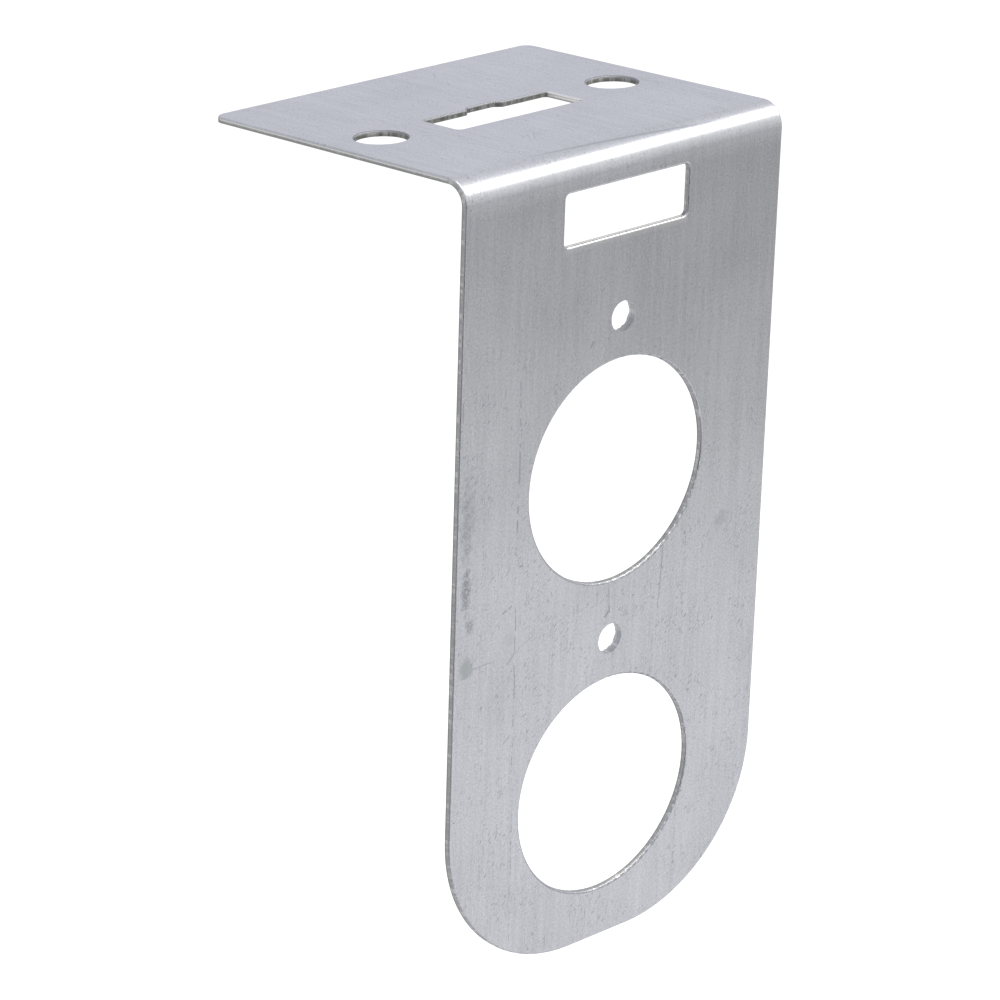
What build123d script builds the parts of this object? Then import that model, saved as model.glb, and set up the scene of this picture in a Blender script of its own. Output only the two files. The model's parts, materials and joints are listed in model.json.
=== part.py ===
from build123d import *
from math import cos, radians, sin
import os

# Pipe support bracket: one punched and folded sheet of steel.
# The flange lies on top and is screwed to the underside of a joist. The plate hangs from its
# front edge and holds one pipe in each large hole.
# Frame: the origin is midway between the two screw holes, on the flange's top face.
# +X runs along the fold, +Y goes back from the plate and +Z points up out of the flange.

# Sheet
sheet = 0.9                # thickness of the steel
edge_roll = 0.35           # rounding that the punch leaves along the edges of the outer skin
hole_bevel = 0.2           # the same drawn-in edge, narrower and nearly flat, at the small holes

# Outline
width = 63.0               # across the plate and the flange
plate_drop = 126.6         # along the plate, from the flange's top face to the lower end
end_radius = 25.4          # the two rounded corners of the lower end
flange_depth = 55.2        # plate's outer face back to the flange's free edge
flange_corner = 2.0        # the flange's two free corners

# Fold between the plate and the flange
bend_radius = 3.6          # outer radius
overbend = 3.8             # degrees that the fold is closed past square

# Pipe holes, with a pin hole above each
pipe_hole = 34.925         # diameter, for a standard snap-in pipe insert
pipe_pitch = 50.8          # between the two pipe holes
pipe_margin = 25.6         # lower pipe hole's centre up from the lower end
pin_hole = 4.76            # diameter, for the insert's locating pin
pin_rise = 23.9            # pin hole's centre above its pipe hole's centre

# Strap slots, one in the plate and one in the flange
slot_length = 24.6         # along the fold
slot_width = 7.94
slot_corner = 0.8
plate_slot_top = 5.6       # along the plate, from the flange's top face to the slot's upper edge
flange_slot_near = 22.7    # plate's outer face back to the flange slot's near edge

# Centring notch in the far edge of the flange slot
notch_mouth = 7.2
notch_floor = 5.0
notch_depth = 1.0
notch_round = 0.7          # rounding of its four corners

# Screw holes in the flange
screw_hole = 7.94          # diameter
screw_pitch = 46.0         # between the two screw holes
screw_line = 27.5          # plate's outer face back to the line through the screw holes

# Places that follow from the sizes. Heights on the plate run up along it from the flange's top.
plate_y = -screw_line
flange_end_y = plate_y + flange_depth
lower_pipe = pipe_margin - plate_drop
upper_pipe = lower_pipe + pipe_pitch
plate_slot = -plate_slot_top - slot_width / 2
flange_slot_y = plate_y + flange_slot_near + slot_width / 2
flange_slot_far_y = flange_slot_y + slot_width / 2
notch_flank = (notch_mouth - notch_floor) / 2

# The flange's top face seen from above, and the plate's outer face seen from the front
lean = radians(overbend)
flange_face = Plane.XY
plate_face = Plane(origin=(0, plate_y, 0), x_dir=(1, 0, 0), z_dir=(0, -cos(lean), -sin(lean)))
plate_normal = Axis(plate_face.origin, plate_face.z_dir)
lower_end = plate_face.from_local_coords((0, -plate_drop, 0))

with BuildPart() as bracket:
    # Section of the folded sheet, drawn along the outer skin and thickened inwards
    with BuildSketch(Plane.YZ):
        with BuildLine():
            skin = FilletPolyline(
                (lower_end.Y, lower_end.Z),
                (plate_y, 0),
                (flange_end_y, 0),
                radius=bend_radius,
            )
            offset(skin, amount=sheet, side=Side.RIGHT)
        make_face()
    extrude(amount=width / 2, both=True)

    # Rounded lower end of the plate and free corners of the flange
    lower_corners = bracket.edges().filter_by(plate_normal).group_by(Axis.Z)[0]
    fillet(lower_corners, radius=end_radius)
    free_corners = bracket.edges().filter_by(Axis.Z).group_by(Axis.Y)[-1]
    fillet(free_corners, radius=flange_corner)

    # Pipe holes and strap slot in the plate
    with BuildSketch(plate_face):
        with Locations((0, lower_pipe), (0, upper_pipe)):
            Circle(pipe_hole / 2)
        with Locations((0, plate_slot)):
            RectangleRounded(slot_length, slot_width, slot_corner)
    extrude(amount=-sheet, mode=Mode.SUBTRACT)

    # Strap slot in the flange, with its notch
    with BuildSketch(flange_face):
        with Locations((0, flange_slot_y)):
            RectangleRounded(slot_length, slot_width, slot_corner)
        with BuildLine():
            Polyline(
                (-notch_mouth / 2, flange_slot_far_y),
                (-notch_mouth / 2 + notch_flank, flange_slot_far_y + notch_depth),
                (notch_mouth / 2 - notch_flank, flange_slot_far_y + notch_depth),
                (notch_mouth / 2, flange_slot_far_y),
                close=True,
            )
        make_face()
    extrude(amount=-sheet, mode=Mode.SUBTRACT)
    notch_corners = (
        bracket.edges()
        .filter_by(Axis.Z)
        .filter_by_position(Axis.X, -notch_mouth / 2, notch_mouth / 2)
        .filter_by_position(Axis.Y, flange_slot_far_y, flange_slot_far_y + notch_depth)
    )
    fillet(notch_corners, radius=notch_round)

    # Rolled edges: the punch came from the outer skin, so its edges are drawn in all round
    front = bracket.faces().filter_by(plate_face).sort_by(plate_normal)[-1]
    top = bracket.faces().filter_by(Plane.XY).sort_by(Axis.Z)[-1]
    bend_ends = bracket.edges().filter_by(GeomType.CIRCLE).filter_by(Plane.YZ).sort_by(SortBy.RADIUS)[-2:]
    bend_lines = (
        front.edges().filter_by(Axis.X).sort_by(Axis.Z)[-1],
        top.edges().filter_by(Axis.X).sort_by(Axis.Y)[0],
    )
    skin_edges = front.edges() + top.edges() + bend_ends
    rolled = [edge for edge in skin_edges if edge not in bend_lines]
    fillet(rolled, radius=edge_roll)

    # Small round holes: pin holes in the plate and screw holes in the flange
    with BuildSketch(plate_face):
        with Locations((0, lower_pipe + pin_rise), (0, upper_pipe + pin_rise)):
            Circle(pin_hole / 2)
    extrude(amount=-sheet, mode=Mode.SUBTRACT)
    with BuildSketch(flange_face):
        with GridLocations(screw_pitch, 0, 2, 1):
            Circle(screw_hole / 2)
    extrude(amount=-sheet, mode=Mode.SUBTRACT)
    front = bracket.faces().filter_by(plate_face).sort_by(plate_normal)[-1]
    top = bracket.faces().filter_by(Plane.XY).sort_by(Axis.Z)[-1]
    pin_rims = front.edges().filter_by(GeomType.CIRCLE).group_by(SortBy.RADIUS)[0]
    screw_rims = top.edges().filter_by(GeomType.CIRCLE).group_by(SortBy.RADIUS)[-1]
    chamfer(pin_rims + screw_rims, length=hole_bevel)

bracket.part.label = "bracket"

os.makedirs("parts", exist_ok=True)
export_step(bracket.part, "parts/bracket.step")
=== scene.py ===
import json
import math
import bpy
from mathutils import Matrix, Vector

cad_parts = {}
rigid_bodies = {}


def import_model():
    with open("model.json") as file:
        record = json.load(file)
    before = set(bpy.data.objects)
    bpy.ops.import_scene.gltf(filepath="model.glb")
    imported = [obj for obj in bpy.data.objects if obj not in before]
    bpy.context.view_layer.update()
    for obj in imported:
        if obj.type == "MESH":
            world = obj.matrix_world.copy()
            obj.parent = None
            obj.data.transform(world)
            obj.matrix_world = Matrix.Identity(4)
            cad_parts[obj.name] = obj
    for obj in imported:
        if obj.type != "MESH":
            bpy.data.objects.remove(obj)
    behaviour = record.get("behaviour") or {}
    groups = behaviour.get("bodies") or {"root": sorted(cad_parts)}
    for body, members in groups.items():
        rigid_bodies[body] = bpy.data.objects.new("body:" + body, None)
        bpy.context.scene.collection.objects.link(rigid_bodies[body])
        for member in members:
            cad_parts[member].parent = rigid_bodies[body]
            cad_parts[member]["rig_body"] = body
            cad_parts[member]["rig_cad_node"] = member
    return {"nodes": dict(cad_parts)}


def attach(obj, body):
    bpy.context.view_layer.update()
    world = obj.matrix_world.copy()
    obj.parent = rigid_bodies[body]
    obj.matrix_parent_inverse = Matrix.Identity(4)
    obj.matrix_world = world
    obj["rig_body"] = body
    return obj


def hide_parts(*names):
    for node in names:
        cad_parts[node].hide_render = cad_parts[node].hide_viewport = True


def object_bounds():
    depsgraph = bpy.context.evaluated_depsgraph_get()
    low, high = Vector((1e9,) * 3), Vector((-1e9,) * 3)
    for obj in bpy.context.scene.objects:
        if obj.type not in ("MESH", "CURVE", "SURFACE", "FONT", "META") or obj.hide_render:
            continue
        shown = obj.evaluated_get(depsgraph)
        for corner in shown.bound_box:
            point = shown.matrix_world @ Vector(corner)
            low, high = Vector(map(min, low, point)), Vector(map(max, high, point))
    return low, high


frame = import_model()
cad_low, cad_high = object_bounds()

from types import SimpleNamespace

import bpy
from bpy.props import FloatProperty, FloatVectorProperty, PointerProperty
from bpy.types import Operator, Panel, PropertyGroup
from mathutils import Vector

bl_info = {
    "name": "Pipe support bracket",
    "version": (1, 0, 0),
    "blender": (4, 5, 0),
    "location": "3D View > Sidebar > Bracket",
    "description": "Galvanised finish and studio for a folded pipe support bracket",
    "category": "Object",
}

MM = 0.001


# Settings


class SheetSizes(PropertyGroup):
    """Where the folded sheet runs, for the patterns that follow it"""

    thickness: FloatProperty(
        name="Thickness", description="Thickness of the sheet",
        default=0.0009, unit="LENGTH")
    bend_radius: FloatProperty(
        name="Bend radius", description="Outer radius of the fold",
        default=0.0036, unit="LENGTH")
    overbend: FloatProperty(
        name="Over-bend", description="How far the fold is closed past square",
        default=math.radians(3.8), subtype="ANGLE")
    plate_line: FloatProperty(
        name="Plate line",
        description="Y of the plate's outer face where it would meet the flange's top",
        default=-0.0275, unit="LENGTH")
    pin_radius: FloatProperty(
        name="Pin hole radius", description="Radius of the two pin holes",
        default=0.00238, unit="LENGTH", precision=5)
    pin_downs: FloatVectorProperty(
        name="Pin holes", description="Along the plate, from the corner to each pin hole",
        default=(0.0263, 0.0771), size=2, unit="LENGTH")
    burr_height: FloatProperty(
        name="Burr height", description="How far the punched burr stands out behind a pin hole",
        default=0.0005, unit="LENGTH", precision=5)
    slot_sill: FloatProperty(
        name="Slot sill",
        description="Along the plate, from the corner to the strap slot's lower edge",
        default=0.01354, unit="LENGTH", precision=5)
    half_width: FloatProperty(
        name="Half width", description="From the middle to a side edge of the sheet",
        default=0.0315, unit="LENGTH", precision=5)
    slot_end: FloatProperty(
        name="Slot end", description="X of the strap slots' right end",
        default=0.0123, unit="LENGTH", precision=5)


class ZincFinish(PropertyGroup):
    """Colours and gloss of the galvanised skin and the sheared edges, and of their painted light
    and shade
    """

    zinc: FloatVectorProperty(
        name="Zinc", description="Colour of the clean zinc skin",
        default=(0.665, 0.67, 0.69), size=3, min=0, max=1, subtype="COLOR")
    # Also the colour of the painted shade along the rolled edges, strong on the flange
    tarnish_and_shade: FloatVectorProperty(
        name="Tarnish", description="Colour of flecks, scratches, smudges and rolled edges",
        default=(0.33, 0.34, 0.37), size=3, min=0, max=1, subtype="COLOR")
    oxide: FloatVectorProperty(
        name="Oxide", description="Colour of the dull greenish oxide stain",
        default=(0.42, 0.49, 0.47), size=3, min=0, max=1, subtype="COLOR")
    cut: FloatVectorProperty(
        name="Smooth cut", description="Colour of the smooth half of a sheared edge",
        default=(0.50, 0.50, 0.47), size=3, min=0, max=1, subtype="COLOR")
    # Also the colour of the painted highlights on lit walls and below the plate's slot
    burnish_and_highlight: FloatVectorProperty(
        name="Burnish", description="Colour of the cuts that the punch has polished",
        default=(0.95, 0.94, 0.90), size=3, min=0, max=1, subtype="COLOR")
    # Also the colour of the painted shade on the flange's corners, rolled edges and far walls, and
    # at the plate slot's right end
    steel_and_shade: FloatVectorProperty(
        name="Bare steel", description="Colour of the torn half of a sheared edge",
        default=(0.20, 0.20, 0.18), size=3, min=0, max=1, subtype="COLOR")
    roughness: FloatProperty(
        name="Roughness", description="Roughness of the flat skin",
        default=0.21, min=0, max=1, subtype="FACTOR")
    bend_roughness: FloatProperty(
        name="Bend roughness", description="Roughness where the tool has rubbed the fold",
        default=0.3, min=0, max=1, subtype="FACTOR")
    grain_depth: FloatProperty(
        name="Grain depth", description="Height of the rolling grain",
        default=0.0000028, unit="LENGTH", precision=6)


class StudioSettings(PropertyGroup):
    """Floor, lights and camera"""

    floor_drop: FloatProperty(
        name="Floor drop", description="Height of the hanging bracket above the floor",
        default=0.12, unit="LENGTH")
    softbox: FloatProperty(
        name="Softbox", description="Power of the softbox on the right",
        default=1.35, unit="POWER")
    overhead: FloatProperty(
        name="Overhead", description="Power of the overhead light",
        default=3.2, unit="POWER")
    lens: FloatProperty(
        name="Lens", description="Focal length of the camera in millimetres",
        default=153.45, min=10, max=400)


# Node helpers


NODES_IN_ROW = 12
NODE_ROOM = (180, 220)

# Sockets of a Mix node that is set to colours
MIX_FACTOR, MIX_A, MIX_B, MIX_RESULT = 0, 6, 7, 2


class Graph:
    """Adds nodes to one node tree and links them in the order they are written"""

    def __init__(self, tree):
        self.tree = tree
        self.count = 0

    def node(self, kind, inputs=None, **settings):
        made = self.tree.nodes.new(kind)
        row, column = divmod(self.count, NODES_IN_ROW)
        made.location = (NODE_ROOM[0] * column, -NODE_ROOM[1] * row)
        self.count += 1
        for name, value in settings.items():
            setattr(made, name, value)
        for name, value in (inputs or {}).items():
            self.feed(made.inputs[name], value)
        return made

    def feed(self, socket, value):
        if isinstance(value, bpy.types.NodeSocket):
            self.tree.links.new(value, socket)
        else:
            socket.default_value = value

    def math(self, operation, *values, clamp=False):
        inputs = dict(enumerate(values))
        return self.node("ShaderNodeMath", inputs, operation=operation, use_clamp=clamp).outputs[0]

    def add(self, a, b):
        return self.math("ADD", a, b)

    def sub(self, a, b):
        return self.math("SUBTRACT", a, b)

    def mul(self, a, b):
        return self.math("MULTIPLY", a, b)

    def most(self, first, *others):
        """The largest of these"""
        for value in others:
            first = self.math("MAXIMUM", first, value)
        return first

    def near(self, value, target, reach):
        """1 within reach of the target, 0 elsewhere"""
        return self.math("COMPARE", value, target, reach)

    def step(self, value, low, high):
        """0 below low, 1 above high, smooth between them; high may be the lower one"""
        (from_min, to_min), (from_max, to_max) = sorted(((low, 0.0), (high, 1.0)))
        return self.node("ShaderNodeMapRange", {
            "Value": value, "From Min": from_min, "From Max": from_max,
            "To Min": to_min, "To Max": to_max}, interpolation_type="SMOOTHSTEP").outputs["Result"]

    def span(self, value, low, high, soft):
        """1 between low and high, with soft ends"""
        rise = self.step(value, low - soft, low + soft)
        fall = self.step(value, high + soft, high - soft)
        return self.mul(rise, fall)

    def choose(self, factor, a, b):
        """a where the factor is 0, b where it is 1"""
        inputs = {"Factor": factor, "A": a, "B": b}
        return self.node("ShaderNodeMix", inputs, data_type="FLOAT").outputs["Result"]

    def tint(self, factor, a, b, blend="MIX"):
        """Colour a with colour b over it by this factor"""
        inputs = {MIX_FACTOR: factor}
        for socket, value in ((MIX_A, a), (MIX_B, b)):
            linked = isinstance(value, bpy.types.NodeSocket)
            inputs[socket] = value if linked else (*value, 1.0)
        made = self.node("ShaderNodeMix", inputs, data_type="RGBA", blend_type=blend)
        return made.outputs[MIX_RESULT]

    def vector(self, x, y):
        return self.node("ShaderNodeCombineXYZ", {"X": x, "Y": y}).outputs[0]

    def noise(self, vector, scale=1.0, detail=2.0, rough=0.5):
        """Noise over the first two coordinates of a vector"""
        inputs = {"Vector": vector, "Scale": scale, "Detail": detail, "Roughness": rough}
        return self.node("ShaderNodeTexNoise", inputs, noise_dimensions="2D").outputs["Fac"]


def new_group(name, inputs, outputs, vectors=()):
    """An empty node group, its graph, input and output; all sockets but the vectors are floats"""
    tree = bpy.data.node_groups.new(name, "ShaderNodeTree")
    for side, sockets in (("INPUT", inputs), ("OUTPUT", outputs)):
        for socket in sockets:
            kind = "NodeSocketVector" if socket in vectors else "NodeSocketFloat"
            tree.interface.new_socket(socket, in_out=side, socket_type=kind)
    graph = Graph(tree)
    start = graph.node("NodeGroupInput").outputs
    end = graph.node("NodeGroupOutput").inputs
    return tree, graph, start, end


def place(graph, tree, **values):
    """Puts a node group in a graph, with its inputs by name"""
    made = graph.node("ShaderNodeGroup", node_tree=tree)
    for name, value in values.items():
        graph.feed(made.inputs[name.replace("_", " ")], value)
    return made.outputs


def pattern(graph, tree, on, **values):
    """Puts a pattern's node group on the sheet and gives its one output"""
    return place(graph, tree, Along=on.along, Down=on.down, **values)[0]


# Node groups


# Where the fold's gloss fades in and out, in millimetres from its start on the flange and its end
# on the plate, and half the width over which the flange's skin turns into the plate's
GLOSS_IN = (-0.9, 0.0)
GLOSS_OUT = (2.6, -0.4)
LEAF_BLEND = 0.6

# Widths of a fleck's edge and of a scratch gap's edge, in levels of their noise
FLECK_EDGE = 0.07
GAP_EDGE = 0.12

# How steeply a scratch's ends rise in a millimetre, and a stroke's ends in its half length
SCRATCH_RISE = 0.8
STROKE_RISE = 3.0


def turned(g, along, down, slant):
    """Distances ahead on and across a line that rises by this angle from the fold's direction"""
    sine = g.math("SINE", slant)
    cosine = g.math("COSINE", slant)
    ahead = g.sub(g.mul(along, cosine), g.mul(down, sine))
    across = g.add(g.mul(along, sine), g.mul(down, cosine))
    return ahead, across


def sheet_place_group(sizes):
    """Where a point lies on the unfolded sheet, in millimetres

    Along runs along the fold. Down is the way down the outer skin: on the plate it counts from the
    corner where the two outer faces would meet. Depth is how far below the outer skin the point is.
    Fold is 1 on the fold's skin, and Flange is 1 on the flange and 0 on the plate.
    """
    tree, g, start, end = new_group(
        "sheet place", ("Position",), ("Along", "Down", "Depth", "Fold", "Flange"),
        vectors=("Position",))
    radius = sizes.bend_radius / MM
    turn = math.pi / 2 + sizes.overbend
    fold_length = radius * turn
    tangent = radius * math.tan(turn / 2)
    axis_y = sizes.plate_line / MM + tangent
    sine = math.sin(sizes.overbend)
    cosine = math.cos(sizes.overbend)
    scaled = g.node("ShaderNodeVectorMath", {0: start["Position"]}, operation="SCALE")
    scaled.inputs["Scale"].default_value = 1 / MM
    xyz = g.node("ShaderNodeSeparateXYZ", {0: scaled.outputs[0]}).outputs
    back = g.sub(xyz["Y"], axis_y)
    up = g.add(xyz["Z"], radius)
    along_plate = g.sub(g.mul(back, sine), g.mul(up, cosine))
    out_plate = g.add(g.mul(back, -cosine), g.mul(up, -sine))
    flange_depth = g.sub(radius, up)
    plate_depth = g.sub(radius, out_plate)
    distance = g.math("SQRT", g.add(g.mul(back, back), g.mul(up, up)))
    angle = g.math("ARCTAN2", g.mul(back, -1.0), up)
    in_fold = g.mul(g.math("LESS_THAN", back, 0.0), g.math("LESS_THAN", along_plate, 0.0))
    on_flange = g.math("LESS_THAN", flange_depth, plate_depth)
    flat_down = g.choose(on_flange, g.add(along_plate, fold_length), g.mul(back, -1.0))
    down = g.choose(in_fold, flat_down, g.mul(angle, radius))
    flat_depth = g.math("MINIMUM", flange_depth, plate_depth)
    gloss_out = g.step(down, fold_length + GLOSS_OUT[0], fold_length + GLOSS_OUT[1])
    g.feed(end["Along"], xyz["X"])
    g.feed(end["Down"], g.sub(down, fold_length - tangent))
    g.feed(end["Depth"], g.choose(in_fold, flat_depth, g.sub(radius, distance)))
    g.feed(end["Fold"], g.mul(g.step(down, *GLOSS_IN), gloss_out))
    g.feed(end["Flange"], g.step(down, LEAF_BLEND, -LEAF_BLEND))
    return tree


def streak_group():
    """Fine streaks that the rolling mill leaves down the sheet, about 0.5 in the middle"""
    tree, g, start, end = new_group(
        "rolling streaks", ("Along", "Down", "Width", "Length"), ("Value",))
    where = g.vector(
        g.math("DIVIDE", start["Along"], start["Width"]),
        g.math("DIVIDE", start["Down"], start["Length"]))
    g.feed(end["Value"], g.noise(where, scale=1.0, detail=2.0, rough=0.6))
    return tree


def fleck_group():
    """Short slanting marks where sheets have rubbed on each other, as a mask"""
    tree, g, start, end = new_group(
        "rub flecks", ("Along", "Down", "Slant", "Width", "Length", "Share"), ("Mask",))
    ahead, across = turned(g, start["Along"], start["Down"], start["Slant"])
    where = g.vector(
        g.math("DIVIDE", ahead, start["Length"]), g.math("DIVIDE", across, start["Width"]))
    level = g.sub(1.0, start["Share"])
    above = g.sub(g.noise(where, scale=1.0, detail=1.0, rough=0.4), level)
    g.feed(end["Mask"], g.math("DIVIDE", above, FLECK_EDGE, clamp=True))
    return tree


def scratch_group():
    """One long thin scratch down the sheet that breaks off here and there, as a mask"""
    tree, g, start, end = new_group(
        "long scratch",
        ("Along", "Down", "Wander", "Broken", "At", "Lean", "From", "To", "Width", "Gaps"),
        ("Mask",))
    since = g.sub(start["Down"], start["From"])
    middle = g.add(start["At"], g.mul(since, start["Lean"]))
    middle = g.add(middle, start["Wander"])
    off = g.math("ABSOLUTE", g.sub(start["Along"], middle))
    line = g.math("SUBTRACT", 1.0, g.math("DIVIDE", off, start["Width"]), clamp=True)
    begin = g.math("MULTIPLY", since, SCRATCH_RISE, clamp=True)
    stop = g.math("MULTIPLY", g.sub(start["To"], start["Down"]), SCRATCH_RISE, clamp=True)
    whole = g.sub(start["Broken"], start["Gaps"])
    held = g.math("DIVIDE", whole, GAP_EDGE, clamp=True)
    g.feed(end["Mask"], g.mul(g.mul(line, held), g.mul(begin, stop)))
    return tree


def stroke_group():
    """One short straight mark, as a mask"""
    tree, g, start, end = new_group(
        "short stroke",
        ("Along", "Down", "Stroke along", "Stroke down", "Slant", "Half length", "Half width"),
        ("Mask",))
    ahead, across = turned(
        g, g.sub(start["Along"], start["Stroke along"]),
        g.sub(start["Down"], start["Stroke down"]), start["Slant"])
    ahead = g.math("DIVIDE", g.math("ABSOLUTE", ahead), start["Half length"])
    across = g.math("DIVIDE", g.math("ABSOLUTE", across), start["Half width"])
    tip = g.math("MULTIPLY", g.sub(1.0, ahead), STROKE_RISE, clamp=True)
    g.feed(end["Mask"], g.mul(tip, g.math("SUBTRACT", 1.0, across, clamp=True)))
    return tree


def spot_group():
    """One uneven spot such as a smudge or an oxide stain, as a mask"""
    tree, g, start, end = new_group(
        "spot",
        ("Along", "Down", "Spot along", "Spot down", "Half width", "Half height", "Raggedness",
         "Softness"),
        ("Mask",))
    dx = g.math("DIVIDE", g.sub(start["Along"], start["Spot along"]), start["Half width"])
    dy = g.math("DIVIDE", g.sub(start["Down"], start["Spot down"]), start["Half height"])
    away = g.math("SQRT", g.add(g.mul(dx, dx), g.mul(dy, dy)))
    away = g.add(away, start["Raggedness"])
    g.feed(end["Mask"], g.math("DIVIDE", g.sub(1.0, away), start["Softness"], clamp=True))
    return tree


# Marks on the skin, in millimetres on the unfolded sheet


SCRATCHES = (
    # along, lean, from, to, half width, gaps, strength
    (-20.0, 0.016, 31.0, 56.0, 0.26, 0.43, 0.6),
    (-19.7, 0.02, 66.0, 87.0, 0.15, 0.41, 0.75),
    (-19.3, 0.012, 87.0, 122.0, 0.14, 0.46, 0.6),
    (-26.1, 0.04, 4.0, 17.0, 0.12, 0.3, 0.5),
    (-20.7, 0.03, 4.3, 8.5, 0.11, 0.2, 0.5),
    (10.5, -0.06, 64.0, 79.5, 0.14, 0.38, 0.7),
    (9.0, -0.05, 79.0, 92.0, 0.13, 0.44, 0.5),
    (-0.65, 0.02, 67.8, 72.0, 0.12, 0.2, 0.7),
    (7.3, 0.05, 24.0, 34.0, 0.12, 0.4, 0.35),
    (25.0, 0.0, 18.0, 60.0, 0.12, 0.5, 0.35),
    (-25.5, 0.01, 84.0, 118.0, 0.12, 0.5, 0.4),
    (-9.0, 0.004, 72.0, 84.0, 0.11, 0.46, 0.3),
    (15.5, 0.006, 92.0, 121.0, 0.12, 0.47, 0.35),
)
STROKES = (
    # along, down, slant in degrees, half length, half width, strength
    (-6.1, 29.3, 55, 0.66, 0.24, 0.95),
    (-30.7, 6.2, -88, 1.3, 0.2, 0.6),
    (-31.0, 34.0, -89, 1.7, 0.2, 0.7),
    (14.3, 31.3, 44, 1.1, 0.13, 0.55),
    (15.2, 31.5, 58, 1.3, 0.12, 0.45),
    (18.3, 38.9, 55, 0.9, 0.15, 0.5),
    (28.9, 39.8, 44, 0.9, 0.12, 0.4),
    (24.7, 13.0, 55, 0.5, 0.2, 0.45),
    (24.3, 16.1, 48, 0.5, 0.2, 0.45),
    (7.9, 31.7, -86, 0.5, 0.16, 0.5),
    (-21.8, 66.9, 29, 0.6, 0.24, 0.65),
    (-20.7, 66.5, 40, 0.4, 0.2, 0.6),
    (-20.9, 50.2, 40, 0.45, 0.14, 0.55),
    (-21.7, 44.9, 29, 0.4, 0.16, 0.5),
    (-19.9, 58.3, -64, 0.5, 0.2, 0.45),
    (-13.1, 34.9, -64, 0.8, 0.25, 0.35),
    (-20.6, 87.6, 42, 1.0, 0.13, 0.7),
    (-18.0, 73.2, 26, 3.0, 0.12, 0.35),
    (-20.1, 74.6, 48, 1.4, 0.3, 0.4),
    (-25.9, 74.2, 2, 2.3, 0.14, 0.45),
    (-12.4, 66.6, -74, 0.5, 0.16, 0.55),
    (-13.0, 67.5, -67, 0.5, 0.18, 0.4),
    (-17.0, 66.7, 73, 0.4, 0.16, 0.5),
    (-0.9, 72.9, 44, 0.7, 0.26, 0.9),
    (-0.4, 72.2, -80, 0.7, 0.2, 0.8),
    (7.2, 5.05, -88, 0.5, 0.14, 0.9),
    (-7.0, -10.8, 50, 2.8, 0.16, 0.4),
    (-8.7, -10.0, 51, 2.2, 0.15, 0.3),
    (27.3, -20.2, 50, 1.8, 0.2, 0.4),
    (7.2, -47.9, 52, 2.2, 0.2, 0.4),
    (5.4, -42.8, 54, 1.8, 0.2, 0.35),
)
SMUDGES = (
    # along, down, half width, half height, ragged, softness, strength
    (-29.6, 51.0, 1.5, 9.0, 2.4, 0.9, 0.6),
    (-29.5, 61.5, 1.0, 4.4, 1.8, 0.6, 0.8),
    (-28.6, 67.2, 0.9, 1.6, 1.6, 0.6, 0.6),
    (22.5, 63.7, 1.6, 1.9, 2.0, 0.7, 0.35),
    (-20.6, 71.6, 1.5, 2.2, 2.2, 0.8, 0.16),
)
OXIDE_STAIN = (-29.2, 73.9, 1.7, 2.1, 1.2, 0.5, 1.0)

# The stain ends sharply at a line below it and at one beside it
OXIDE_FOOT = (75.6, 75.2)
OXIDE_SIDE = (-30.5, -30.1)

# Lines that the bending tool has left: from and to down the sheet, and softness
FLANGE_LINE = (-1.1, -0.65, 0.2)
FLANGE_LINE_SLOPE = 0.075
FLANGE_LINE_START = (-19.0, -11.0)
FLANGE_LINE_WAVER = 0.25
PLATE_LINE = (5.0, 5.1, 0.3)
PLATE_LINE_WAVER = 0.6

# The noise that breaks up and bends the scratches: how fast it changes along and down the sheet,
# and how far it bends them
SCRATCH_NOISE = (0.11, 0.42)
SCRATCH_WANDER = 0.7

# Levels of a broad noise between which the flecks crowd, and how strong they are on the flange
FLECK_CROWDS = (0.38, 0.6)
FLANGE_FLECKS = 0.8

# Levels of the fine mottling between which a mark breaks up
MOTTLED = SimpleNamespace(strokes=(0.22, 0.42), smudges=(0.37, 0.53), plate_line=(0.4, 0.62))


# Parts of a sheared edge, in millimetres


# Depths below the outer skin: from, to and softness
ROLLED_DEPTH = (0.03, 0.3, 0.03)
# Painted shade on the flange's corner between the rolled edge and the cut
CORNER_DEPTH = (0.32, 0.42, 0.05)
# Painted highlights on the end and side walls of the flange
END_WALL_HIGHLIGHT = (0.28, 0.7, 0.05)
SIDE_WALL_HIGHLIGHT = (0.3, 0.42, 0.04)
# Painted shade along the plate slot's right end
SLOT_SIDE_SHADE = (0.3, 0.5, 0.08)

# The smooth cut and the slot sill's painted highlight start here, and end so far before the sheet's
# back
CUT_TOP = 0.28
CUT_END = 0.02
CUT_SOFTNESS = 0.03
SILL_WALL_HIGHLIGHT_END = 0.05
SILL_WALL_HIGHLIGHT_SOFTNESS = 0.05

# The torn half starts about here, its upper line wanders by this much, and it fades out so far
# before the sheet's back; the burr starts so far behind it
TORN_TOP = 0.56
TORN_WANDER = 0.5
TORN_FADE = (0.01, 0.05)
BURR_START = (0.02, 0.05)

# How near its place a point has to lie to be on a wall or in a pin hole
WALL_REACH = 0.03
PIN_REACH = 3.0

# How far the rolled skin reaches from a slot and its softness, how far in from the flange's side
# edges it starts, and how much of its roughness and painted shade it loses there
ROLLED_WIDTH = 0.4
ROLLED_SOFTNESS = 0.05
SIDE_ROLL = (0.5, 0.38)
SIDE_ROLL_LOSS = 0.75

# Painted highlight below the plate's slot: where it starts, where it fades, and how soft its ends
# are
UNDER_SLOT_HIGHLIGHT_START = (0.1, 0.3)
UNDER_SLOT_HIGHLIGHT_FADE = (1.3, 0.4)
UNDER_SLOT_SOFTNESS = 0.4

# Levels of the ragged noise between which uneven patches start
PATCHES = SimpleNamespace(dull=(0.1, -0.02), bright=(0.03, 0.12), far_wall=(-0.14, 0.12))


# How much each pattern does


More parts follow.
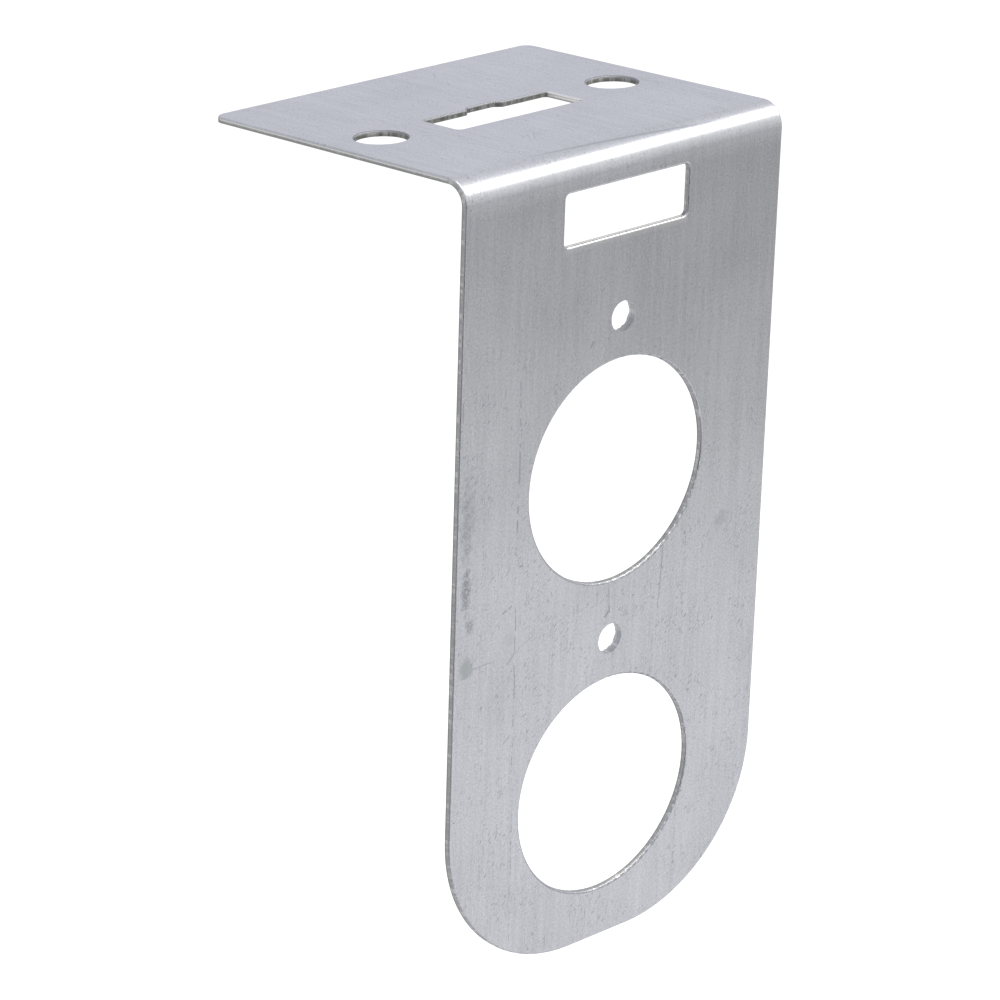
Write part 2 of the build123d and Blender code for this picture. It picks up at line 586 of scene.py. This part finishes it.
# Change of the zinc's shade with each grain pattern, about a middle level
SHADE = SimpleNamespace(
    middle=0.98, broad=0.18, fine_plate=0.17, fine_flange=0.3, clouds=0.18, pebble=0.5)

# How fully each mark, each part of a sheared edge and each painted highlight and shade takes its
# colour
COVER = SimpleNamespace(
    rubs=0.6, hairs=0.45, plate_line=0.3, flange_line=0.5, oxide=0.42, rolled_plate=0.15,
    rolled_flange=0.7, dull=0.45, cut=0.75, light_cut=0.2, bright=0.9, patchy=0.4, under_slot_highlight=0.3,
    torn=0.35, light_torn=0.1, corner=0.5, flange_roll=0.4, slot_side=0.65, far_wall=0.25,
    far_wall_patches=0.9)

# Roughness of each part of a sheared edge, and what grain, marks and oxide add to the skin's
ROUGH = SimpleNamespace(
    flange_roll=0.55, dull=0.45, cut=0.4, torn=0.62, sill=0.75, fine=0.03, marks=0.2, oxide=0.2)

# Height of each pattern, how much of it the fold loses, and how much torn metal adds
RELIEF = SimpleNamespace(
    fine=0.07, pebble=0.48, flecks=0.14, flange_line=0.8, fold_loss=0.75, torn_gain=2.0)

METALLIC = 0.96


# Material


def grain_masks(g, on):
    """Streaks, clouds and mottling about 0.5 in the middle, and ragged noise about 0"""
    streaks = streak_group()
    return SimpleNamespace(
        broad=pattern(g, streaks, on, Width=1.1, Length=34.0),
        fine=pattern(g, streaks, on, Width=0.16, Length=5.0),
        clouds=g.noise(on.flat, scale=0.055, detail=2.0, rough=0.55),
        pebble=g.noise(on.flat, scale=2.6, detail=3.0, rough=0.7),
        ragged=g.sub(g.noise(on.flat, scale=0.9, detail=3.0, rough=0.65), 0.5))


def scratch_mask(g, on):
    """All the long scratches"""
    lines = g.vector(g.mul(on.along, SCRATCH_NOISE[0]), g.mul(on.down, SCRATCH_NOISE[1]))
    broken = g.noise(lines, scale=1.0, detail=2.0, rough=0.7)
    wander = g.mul(g.sub(g.noise(lines, scale=0.31), 0.5), SCRATCH_WANDER)
    scratch = scratch_group()
    mask = 0.0
    for at, lean, begin, stop, width, gaps, strength in SCRATCHES:
        one = pattern(
            g, scratch, on, Wander=wander, Broken=broken, At=at, Lean=lean, From=begin, To=stop,
            Width=width, Gaps=gaps)
        mask = g.most(mask, g.mul(one, strength))
    return mask


def stroke_mask(g, on, grain):
    """All the short strokes"""
    stroke = stroke_group()
    mask = 0.0
    for x, y, slant, length, width, strength in STROKES:
        one = pattern(
            g, stroke, on, Stroke_along=x, Stroke_down=y, Slant=math.radians(slant),
            Half_length=length, Half_width=width)
        mask = g.most(mask, g.mul(one, strength))
    return g.mul(mask, g.step(grain.pebble, *MOTTLED.strokes))


def spot_mask(g, spot, on, grain, spots):
    """All the spots of one table"""
    mask = 0.0
    for x, y, wide, high, ragged, softness, strength in spots:
        one = pattern(
            g, spot, on, Spot_along=x, Spot_down=y, Half_width=wide, Half_height=high,
            Raggedness=g.mul(grain.ragged, ragged), Softness=softness)
        mask = g.most(mask, g.mul(one, strength))
    return mask


def wear_masks(g, on, grain):
    """Rub flecks, the oxide stain, the bending tool's line, and all marks together"""
    crowd = g.step(g.noise(on.flat, scale=0.16, detail=2.0, rough=0.6), *FLECK_CROWDS)
    crowd = g.mul(crowd, g.choose(on.flange, 1.0, FLANGE_FLECKS))
    flecks = fleck_group()
    rubs = g.mul(pattern(g, flecks, on, Slant=0.72, Width=0.26, Length=1.05, Share=0.32), crowd)
    hairs = g.mul(pattern(g, flecks, on, Slant=1.5, Width=0.2, Length=3.0, Share=0.3), crowd)

    spot = spot_group()
    smudged = spot_mask(g, spot, on, grain, SMUDGES)
    oxide = g.mul(
        spot_mask(g, spot, on, grain, (OXIDE_STAIN,)),
        g.mul(g.step(on.down, *OXIDE_FOOT), g.step(on.along, *OXIDE_SIDE)))

    waver = g.noise(g.vector(on.along, 0.0), scale=0.3)
    slanting = g.sub(
        g.add(on.down, g.mul(waver, FLANGE_LINE_WAVER)), g.mul(on.along, FLANGE_LINE_SLOPE))
    flange_line = g.mul(g.span(slanting, *FLANGE_LINE), g.step(on.along, *FLANGE_LINE_START))
    plate_line = g.mul(
        g.span(g.add(on.down, g.mul(waver, PLATE_LINE_WAVER)), *PLATE_LINE),
        g.step(grain.pebble, *MOTTLED.plate_line))

    marks = g.most(
        g.mul(rubs, COVER.rubs), g.mul(hairs, COVER.hairs),
        scratch_mask(g, on), stroke_mask(g, on, grain),
        g.mul(smudged, g.step(grain.pebble, *MOTTLED.smudges)),
        g.mul(plate_line, COVER.plate_line), g.mul(flange_line, COVER.flange_line))
    return SimpleNamespace(
        flecks=g.add(rubs, hairs), oxide=oxide, flange_line=flange_line, marks=marks)


def edge_masks(g, on, grain, sizes):
    """Parts of the sheet's thickness: rolled edge, smooth cut, torn half and single walls, with
    painted light and shade
    """
    sheet = sizes.thickness / MM
    slot_end = sizes.slot_end / MM
    half_width = sizes.half_width / MM
    off_middle = g.math("ABSOLUTE", on.along)
    edge = SimpleNamespace()
    edge.cut = g.most(
        g.span(on.depth, CUT_TOP, sheet - CUT_END, CUT_SOFTNESS),
        g.step(on.depth, sheet + BURR_START[0], sheet + BURR_START[1]))
    torn_from = g.add(TORN_TOP, g.mul(grain.ragged, TORN_WANDER))
    edge.torn = g.mul(
        g.math("GREATER_THAN", on.depth, torn_from),
        g.step(on.depth, sheet - TORN_FADE[0], sheet - TORN_FADE[1]))
    edge.corner = g.span(on.depth, *CORNER_DEPTH)

    # The rolled edge takes painted shade; at the end of the flange's slot it takes a painted
    # highlight instead, and along the flange's side edges less shade
    rolled = g.span(on.depth, *ROLLED_DEPTH)
    past_end = g.span(on.along, slot_end, slot_end + ROLLED_WIDTH, ROLLED_SOFTNESS)
    end_roll = g.mul(g.mul(on.flange, rolled), past_end)
    side_roll = g.mul(
        on.flange, g.step(off_middle, half_width - SIDE_ROLL[0], half_width - SIDE_ROLL[1]))
    edge.rolled = g.mul(
        g.sub(rolled, end_roll), g.sub(1.0, g.mul(side_roll, SIDE_ROLL_LOSS)))
    edge.flange_roll = g.mul(edge.rolled, on.flange)

    # Painted highlights on lit walls, over the real burnish; painted shade on the flange's far
    # walls
    end_wall = g.mul(on.flange, g.near(on.along, slot_end, WALL_REACH))
    side_wall = g.mul(on.flange, g.near(off_middle, half_width, WALL_REACH))
    edge.sill = g.mul(on.plate, g.near(on.down, sizes.slot_sill / MM, WALL_REACH))
    edge.bright = g.most(
        g.mul(end_wall, g.span(on.depth, *END_WALL_HIGHLIGHT)),
        g.mul(edge.sill, g.span(
            on.depth, CUT_TOP, sheet - SILL_WALL_HIGHLIGHT_END, SILL_WALL_HIGHLIGHT_SOFTNESS)),
        end_roll,
        g.mul(side_wall, g.span(on.depth, *SIDE_WALL_HIGHLIGHT)))
    edge.far_wall = g.mul(
        g.mul(edge.cut, on.flange), g.sub(1.0, g.most(end_wall, side_wall)))
    edge.patchy = g.mul(g.mul(edge.cut, on.plate), g.step(grain.ragged, *PATCHES.bright))

    # Painted light: fainter cut and torn colours in the pin holes and at the plate slot's right end
    in_pins = 0.0
    for pin in sizes.pin_downs:
        in_pin = g.mul(g.near(on.down, pin / MM, PIN_REACH), g.near(on.along, 0.0, PIN_REACH))
        in_pins = g.add(in_pins, in_pin)
    slot_side = g.mul(on.plate, g.near(on.along, slot_end, WALL_REACH))
    # Painted shade along the plate slot's right end, just below the rolled edge
    edge.slot_side = g.mul(slot_side, g.span(on.depth, *SLOT_SIDE_SHADE))
    edge.light = g.most(in_pins, slot_side)

    # Painted highlight on the skin just below the plate's slot, and the rolled edge there
    under_sill = g.sub(on.down, sizes.slot_sill / MM)
    below_slot = g.mul(on.plate, g.span(on.along, -slot_end, slot_end, UNDER_SLOT_SOFTNESS))
    under_slot_highlight = g.mul(g.step(under_sill, *UNDER_SLOT_HIGHLIGHT_FADE), g.step(under_sill, *UNDER_SLOT_HIGHLIGHT_START))
    edge.under_slot_highlight = g.mul(under_slot_highlight, below_slot)
    sill_roll = g.mul(g.span(under_sill, 0.0, ROLLED_WIDTH, ROLLED_SOFTNESS), below_slot)
    edge.dull = g.mul(
        g.mul(edge.rolled, on.plate),
        g.mul(g.step(grain.ragged, *PATCHES.dull), g.sub(1.0, sill_roll)))
    return edge


def skin_colour(g, on, grain, wear, edge, finish):
    """Zinc with its grain, and over it the marks, the stain, the sheared edges and painted light
    and shade
    """
    fine = g.choose(on.flange, SHADE.fine_plate, SHADE.fine_flange)
    shade = SHADE.middle
    for value, change in (
            (grain.broad, SHADE.broad), (grain.fine, fine), (grain.clouds, SHADE.clouds),
            (grain.pebble, SHADE.pebble)):
        shade = g.add(shade, g.mul(g.sub(value, 0.5), change))
    grey = g.node("ShaderNodeCombineColor", {0: shade, 1: shade, 2: shade}).outputs[0]
    colour = g.tint(1.0, grey, tuple(finish.zinc), "MULTIPLY")

    # Burnish and painted highlights: lit walls, uneven patches on the cuts and the skin below the
    # slot
    polished = g.most(
        g.mul(edge.bright, COVER.bright), g.mul(edge.patchy, COVER.patchy),
        g.mul(edge.under_slot_highlight, COVER.under_slot_highlight))
    # The torn half's own dark colour, and painted shade on the flange's corners, rolled edges and
    # far walls and at the plate slot's right end
    dark = g.most(
        g.mul(edge.torn, g.choose(edge.light, COVER.torn, COVER.light_torn)),
        g.mul(edge.corner, g.choose(on.flange, COVER.corner, 0.0)),
        g.mul(edge.flange_roll, COVER.flange_roll),
        g.mul(edge.slot_side, COVER.slot_side))
    # Painted shade on the flange's far walls, darker in uneven patches
    patches = g.step(grain.ragged, *PATCHES.far_wall)
    dark = g.most(
        g.mul(dark, g.sub(1.0, edge.bright)),
        g.mul(edge.far_wall, g.choose(patches, COVER.far_wall, COVER.far_wall_patches)))
    # Painted shade along the rolled edges, strong on the flange and faint on the plate
    rolled = g.choose(on.flange, COVER.rolled_plate, COVER.rolled_flange)
    for cover, paint in (
            (wear.marks, finish.tarnish_and_shade),
            (g.mul(wear.oxide, COVER.oxide), finish.oxide),
            (g.mul(edge.rolled, rolled), finish.tarnish_and_shade),
            (g.mul(edge.dull, COVER.dull), finish.tarnish_and_shade),
            (g.mul(edge.cut, g.choose(edge.light, COVER.cut, COVER.light_cut)), finish.cut),
            (polished, finish.burnish_and_highlight),
            (dark, finish.steel_and_shade)):
        colour = g.tint(cover, colour, tuple(paint))
    return colour


def skin_roughness(g, on, grain, wear, edge, finish):
    """Roughness of the flat skin, the fold and the sheared edges"""
    rough = g.add(finish.roughness, g.mul(g.sub(grain.fine, 0.5), ROUGH.fine))
    rough = g.add(rough, g.mul(wear.marks, ROUGH.marks))
    coarse = g.most(edge.torn, g.mul(edge.cut, edge.sill))
    for mask, value in (
            (on.fold, finish.bend_roughness),
            (edge.flange_roll, ROUGH.flange_roll),
            (edge.dull, ROUGH.dull),
            (edge.cut, ROUGH.cut),
            (coarse, g.choose(edge.sill, ROUGH.torn, ROUGH.sill))):
        rough = g.choose(mask, rough, value)
    return g.add(rough, g.mul(wear.oxide, ROUGH.oxide))


def grain_height(g, on, grain, wear, edge):
    """Height of the grain, calmer on the fold and coarser on torn metal"""
    height = g.add(g.mul(grain.fine, RELIEF.fine), g.mul(grain.pebble, RELIEF.pebble))
    height = g.sub(height, g.mul(wear.flecks, RELIEF.flecks))
    height = g.sub(height, g.mul(wear.flange_line, RELIEF.flange_line))
    height = g.mul(height, g.sub(1.0, g.mul(on.fold, RELIEF.fold_loss)))
    return g.mul(height, g.add(1.0, g.mul(edge.torn, RELIEF.torn_gain)))


def zinc_material(sizes, finish):
    """Galvanised sheet: rolling grain, rub marks, the glossy fold, and the sheared edges with
    painted light and shade
    """
    material = bpy.data.materials.new("galvanised_steel")
    material.use_nodes = True
    material.node_tree.nodes.clear()
    g = Graph(material.node_tree)
    position = g.node("ShaderNodeTexCoord").outputs["Object"]
    lies = place(g, sheet_place_group(sizes), Position=position)
    on = SimpleNamespace(
        along=lies["Along"], down=lies["Down"], depth=lies["Depth"], fold=lies["Fold"],
        flange=lies["Flange"], plate=g.sub(1.0, lies["Flange"]),
        flat=g.vector(lies["Along"], lies["Down"]))
    grain = grain_masks(g, on)
    wear = wear_masks(g, on, grain)
    edge = edge_masks(g, on, grain, sizes)
    bump = g.node("ShaderNodeBump", {
        "Height": grain_height(g, on, grain, wear, edge), "Strength": 1.0,
        "Distance": finish.grain_depth})
    shader = g.node("ShaderNodeBsdfPrincipled", {
        "Base Color": skin_colour(g, on, grain, wear, edge, finish),
        "Roughness": skin_roughness(g, on, grain, wear, edge, finish),
        "Normal": bump.outputs[0], "Metallic": METALLIC})
    out = g.node("ShaderNodeOutputMaterial")
    g.tree.links.new(shader.outputs[0], out.inputs["Surface"])
    return material


# Modelling


# The burr's section: each step back as a share of its height, and how much wider in millimetres
BURR_STEPS = ((0.8, -0.01), (0.26, 0.06), (-0.5, 0.12), (-0.56, 0.3))
BURR_SIDES = 48
BURR_ROOT = 0.03 * MM
BURR_UNEVEN = 0.035 * MM

# The sheet's smoothing: doubles, sharp edges, and the cosine within which a face counts as flat
MERGE_DISTANCE = 1e-6
SHARP_ANGLE = math.radians(55)
FLAT_COSINE = 0.9999
FLAT_WEIGHT = 100


def only(obj):
    """Selects this object alone and makes it the active one"""
    bpy.ops.object.select_all(action="DESELECT")
    obj.hide_set(False)
    obj.select_set(True)
    bpy.context.view_layer.objects.active = obj


def plate_back(sizes):
    """The way straight back from the plate"""
    return Vector((0, math.cos(sizes.overbend), math.sin(sizes.overbend)))


def pin_burr(sizes, down):
    """The uneven burr that the punch raises behind a pin hole, rooted in the sheet's back"""
    back = plate_back(sizes)
    along_plate = Vector((0, math.sin(sizes.overbend), -math.cos(sizes.overbend)))
    root = sizes.thickness - BURR_ROOT
    middle = Vector((0, sizes.plate_line, 0)) + along_plate * down + back * root
    bpy.ops.object.select_all(action="DESELECT")
    bpy.ops.mesh.primitive_circle_add(
        vertices=BURR_SIDES, radius=sizes.pin_radius, fill_type="NOTHING", location=middle,
        rotation=(sizes.overbend - math.pi / 2, 0, 0))
    burr = bpy.context.object
    burr.name = "pin_burr"
    bpy.ops.object.transform_apply(location=True, rotation=True, scale=True)
    bpy.ops.object.mode_set(mode="EDIT")
    bpy.ops.mesh.select_mode(type="EDGE")
    bpy.ops.mesh.select_all(action="SELECT")
    radius = sizes.pin_radius
    for share, wider in BURR_STEPS:
        step_back = back * (sizes.burr_height * share)
        middle = middle + step_back
        scale = (radius + wider * MM) / radius
        bpy.ops.mesh.extrude_edges_move(TRANSFORM_OT_translate={"value": step_back})
        bpy.ops.transform.resize(value=(scale, scale, scale), center_override=middle)
        if share > 0:
            bpy.ops.transform.vertex_random(offset=BURR_UNEVEN, uniform=1.0, seed=5)
        radius += wider * MM
    bpy.ops.mesh.select_all(action="DESELECT")
    bpy.ops.mesh.select_non_manifold()
    bpy.ops.mesh.bridge_edge_loops()
    bpy.ops.mesh.select_all(action="SELECT")
    bpy.ops.mesh.normals_make_consistent(inside=False)
    bpy.ops.object.mode_set(mode="OBJECT")
    return burr


def mark_flats(sheet, sizes):
    """Lets the flat faces set the normals along their borders, so that they shade flat"""
    flats = (Vector((0, 0, 1)), plate_back(sizes))
    bpy.ops.object.mode_set(mode="EDIT")
    bpy.ops.mesh.select_mode(type="FACE")
    bpy.ops.mesh.select_all(action="DESELECT")
    bpy.ops.object.mode_set(mode="OBJECT")
    for face in sheet.data.polygons:
        face.select = any(abs(face.normal.dot(flat)) > FLAT_COSINE for flat in flats)
    bpy.ops.object.mode_set(mode="EDIT")
    bpy.ops.mesh.mod_weighted_strength(set=True, face_strength="STRONG")
    bpy.ops.object.mode_set(mode="OBJECT")


class BRACKET_OT_sheet(Operator):
    """Make the folded sheet with its burrs, smooth skin and galvanised finish"""

    bl_idname = "bracket.make_sheet"
    bl_label = "Folded sheet"

    def execute(self, context):
        sizes = context.scene.bracket_sizes
        only(frame["nodes"]["bracket"])
        bpy.ops.object.duplicate()
        sheet = context.view_layer.objects.active
        sheet.name = "folded_sheet"
        sheet.data.name = "folded_sheet"
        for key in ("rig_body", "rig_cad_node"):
            if key in sheet:
                del sheet[key]
        only(sheet)
        bpy.ops.object.parent_clear(type="CLEAR_KEEP_TRANSFORM")
        bpy.ops.mesh.customdata_custom_splitnormals_clear()
        bpy.ops.object.mode_set(mode="EDIT")
        bpy.ops.mesh.select_all(action="SELECT")
        bpy.ops.mesh.remove_doubles(threshold=MERGE_DISTANCE)
        bpy.ops.mesh.normals_make_consistent(inside=False)
        bpy.ops.object.mode_set(mode="OBJECT")
        burrs = [pin_burr(sizes, down) for down in sizes.pin_downs]
        only(sheet)
        for burr in burrs:
            burr.select_set(True)
        bpy.ops.object.join()
        bpy.ops.object.shade_smooth_by_angle(angle=SHARP_ANGLE)
        mark_flats(sheet, sizes)
        weighted = sheet.modifiers.new("flat faces stay flat", "WEIGHTED_NORMAL")
        weighted.keep_sharp = True
        weighted.use_face_influence = True
        weighted.weight = FLAT_WEIGHT
        bpy.ops.object.modifier_apply(modifier=weighted.name)

        sheet.data.materials.clear()
        sheet.data.materials.append(zinc_material(sizes, context.scene.bracket_finish))
        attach(sheet, "root")
        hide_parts("bracket")
        return {"FINISHED"}


# Studio


# How bright the room looks in the metal, by height: degrees above the horizon, then the colour
FRONT_ROOM = (
    (-90.0, (0.80, 0.80, 0.84)),
    (-31.0, (0.88, 0.88, 0.92)),
    (-27.0, (0.85, 0.85, 0.88)),
    (-25.4, (0.98, 0.98, 1.00)),
    (-23.9, (0.98, 0.98, 1.00)),
    (-22.9, (0.33, 0.33, 0.34)),
    (-18.5, (0.38, 0.38, 0.39)),
    (-15.5, (0.50, 0.51, 0.52)),
    (-11.0, (0.62, 0.63, 0.65)),
    (2.0, (0.76, 0.77, 0.79)),
    (14.0, (0.90, 0.91, 0.93)),
    (90.0, (0.80, 0.80, 0.84)),
)
BACK_ROOM = (
    (-90.0, (0.80, 0.80, 0.84)),
    (-20.0, (0.66, 0.66, 0.68)),
    (0.0, (0.70, 0.71, 0.76)),
    (12.0, (0.69, 0.70, 0.77)),
    (90.0, (0.72, 0.73, 0.78)),
)

# Y of a direction, from where the front room starts to give way to where the back room is alone
ROOM_BLEND = (-0.45, 0.1)

# Where the room is dark, beside and below the camera: the direction, its cone's edge and how dark
DARK_SIDE = (-0.72, -0.66, -0.22)
DARK_EDGE = (0.82, 0.95)
DARKNESS = 0.75

# What the room gives to matt surfaces
FILL = (0.6, 0.6, 0.61, 1.0)
WHITE = (1.0, 1.0, 1.0, 1.0)

PAPER = (0.86, 0.86, 0.86, 1.0)
PAPER_ROUGHNESS = 0.9
PAPER_GLOW = 0.5
FLOOR_SIZE = 8.0

# Softboxes: azimuth and elevation in degrees, then distance, width and height in metres
SOFTBOX_RIGHT = (60.5, 40, 0.8, 0.4, 0.23)
OVERHEAD = (20, 76, 0.9, 0.7, 0.56)
LAMP_COLOUR = (1.0, 0.985, 0.955)

# The camera's place in metres, its turn in degrees, its sensor's width in millimetres and the
# nearest that it sees, in metres
CAMERA_PLACE = (-0.41140, -0.44767, 0.15093)
CAMERA_TURN = (70.814, 0.911, -42.819)
CAMERA_SENSOR = 36
CAMERA_NEAREST = 0.01


def sky_ramp(g, height, stops):
    """Colour by height, where height is the sine of the angle above the horizon"""
    ramp = g.node("ShaderNodeValToRGB", {"Fac": g.math("MULTIPLY_ADD", height, 0.5, 0.5)})
    elements = ramp.color_ramp.elements
    while len(elements) < len(stops):
        elements.new(0.5)
    for element, (degrees, colour) in zip(elements, stops):
        element.position = (math.sin(math.radians(degrees)) + 1) / 2
        element.color = (*colour, 1.0)
    return ramp.outputs[0]


def ray_masks(g):
    """Masks of the rays that see the background as it is, and of those that the metal reflects"""
    path = g.node("ShaderNodeLightPath").outputs
    seen = g.most(path["Is Camera Ray"], path["Is Transmission Ray"])
    return seen, path["Is Glossy Ray"]


def world_light():
    """White to the camera; to the metal, a bright room with a darker band under the horizon"""
    world = bpy.data.worlds.new("studio")
    bpy.context.scene.world = world
    world.use_nodes = True
    world.node_tree.nodes.clear()
    g = Graph(world.node_tree)
    direction = g.node("ShaderNodeTexCoord").outputs["Generated"]
    xyz = g.node("ShaderNodeSeparateXYZ", {0: direction}).outputs
    front = sky_ramp(g, xyz["Z"], FRONT_ROOM)
    back = sky_ramp(g, xyz["Z"], BACK_ROOM)
    around = g.tint(g.step(xyz["Y"], *ROOM_BLEND), front, back)
    facing = g.node("ShaderNodeVectorMath", {0: direction, 1: DARK_SIDE}, operation="DOT_PRODUCT")
    shaded = g.mul(g.step(facing.outputs["Value"], *DARK_EDGE), DARKNESS)
    around = g.tint(shaded, around, (0.0, 0.0, 0.0))
    seen, reflected = ray_masks(g)
    room, fill, white = (
        g.node("ShaderNodeBackground", {"Color": colour, "Strength": 1.0}).outputs[0]
        for colour in (around, FILL, WHITE))
    lit = g.node("ShaderNodeMixShader", {0: reflected, 1: fill, 2: room}).outputs[0]
    final = g.node("ShaderNodeMixShader", {0: seen, 1: lit, 2: white}).outputs[0]
    out = g.node("ShaderNodeOutputWorld")
    g.tree.links.new(final, out.inputs["Surface"])


def floor_material():
    """Pale matt paper that the camera sees as white, with the object's shadow on it"""
    material = bpy.data.materials.new("floor_paper")
    material.use_nodes = True
    g = Graph(material.node_tree)
    seen, _ = ray_masks(g)
    shader = material.node_tree.nodes["Principled BSDF"]
    for name, value in (
            ("Base Color", PAPER), ("Roughness", PAPER_ROUGHNESS), ("Specular IOR Level", 0.0),
            ("Emission Color", WHITE), ("Emission Strength", g.mul(seen, PAPER_GLOW))):
        g.feed(shader.inputs[name], value)
    return material


def soft_light(name, where, power, target):
    """A rectangular softbox; azimuth turns from the plate's front towards +X"""
    azimuth, elevation, distance, width, height = where
    turn = math.radians(azimuth)
    rise = math.radians(elevation)
    way = Vector((
        math.sin(turn) * math.cos(rise), -math.cos(turn) * math.cos(rise), math.sin(rise)))
    bpy.ops.object.light_add(type="AREA", location=target + way * distance)
    light = bpy.context.object
    light.name = name
    light.data.shape = "RECTANGLE"
    light.data.size = width
    light.data.size_y = height
    light.data.energy = power
    light.data.color = LAMP_COLOUR
    light.rotation_euler = (-way).to_track_quat("-Z", "Y").to_euler()
    light.visible_camera = False


class BRACKET_OT_studio(Operator):
    """Set up the floor, lights, white surroundings and camera"""

    bl_idname = "bracket.set_studio"
    bl_label = "Studio"

    def execute(self, context):
        studio = context.scene.bracket_studio
        bpy.ops.object.select_all(action="DESELECT")
        floor_z = cad_low.z - studio.floor_drop
        bpy.ops.mesh.primitive_plane_add(size=FLOOR_SIZE, location=(0, 0, floor_z))
        floor = context.object
        floor.name = "floor"
        floor.data.materials.append(floor_material())
        floor.visible_glossy = False

        middle = (cad_low + cad_high) / 2
        soft_light("softbox_right", SOFTBOX_RIGHT, studio.softbox, middle)
        soft_light("overhead", OVERHEAD, studio.overhead, middle)
        world_light()

        bpy.ops.object.camera_add(
            location=CAMERA_PLACE, rotation=[math.radians(angle) for angle in CAMERA_TURN])
        camera = context.object
        camera.name = "camera"
        camera.data.sensor_width = CAMERA_SENSOR
        camera.data.lens = studio.lens
        camera.data.clip_start = CAMERA_NEAREST
        context.scene.camera = camera
        context.scene.view_settings.view_transform = "Standard"
        return {"FINISHED"}


class BRACKET_PT_tools(Panel):
    """The bracket's pieces and their settings"""

    bl_label = "Pipe support bracket"
    bl_idname = "BRACKET_PT_tools"
    bl_space_type = "VIEW_3D"
    bl_region_type = "UI"
    bl_category = "Bracket"

    def draw(self, context):
        scene = context.scene
        for group in (scene.bracket_sizes, scene.bracket_finish, scene.bracket_studio):
            box = self.layout.box()
            for name in group.__annotations__:
                box.prop(group, name)
        self.layout.operator(BRACKET_OT_sheet.bl_idname)
        self.layout.operator(BRACKET_OT_studio.bl_idname)


CLASSES = (
    SheetSizes, ZincFinish, StudioSettings, BRACKET_OT_sheet, BRACKET_OT_studio, BRACKET_PT_tools)


def register():
    for cls in CLASSES:
        bpy.utils.register_class(cls)
    bpy.types.Scene.bracket_sizes = PointerProperty(type=SheetSizes)
    bpy.types.Scene.bracket_finish = PointerProperty(type=ZincFinish)
    bpy.types.Scene.bracket_studio = PointerProperty(type=StudioSettings)


def unregister():
    del bpy.types.Scene.bracket_studio
    del bpy.types.Scene.bracket_finish
    del bpy.types.Scene.bracket_sizes
    for cls in reversed(CLASSES):
        bpy.utils.unregister_class(cls)


def main():
    register()
    bpy.ops.bracket.make_sheet()
    bpy.ops.bracket.set_studio()


if __name__ == "__main__":
    main()
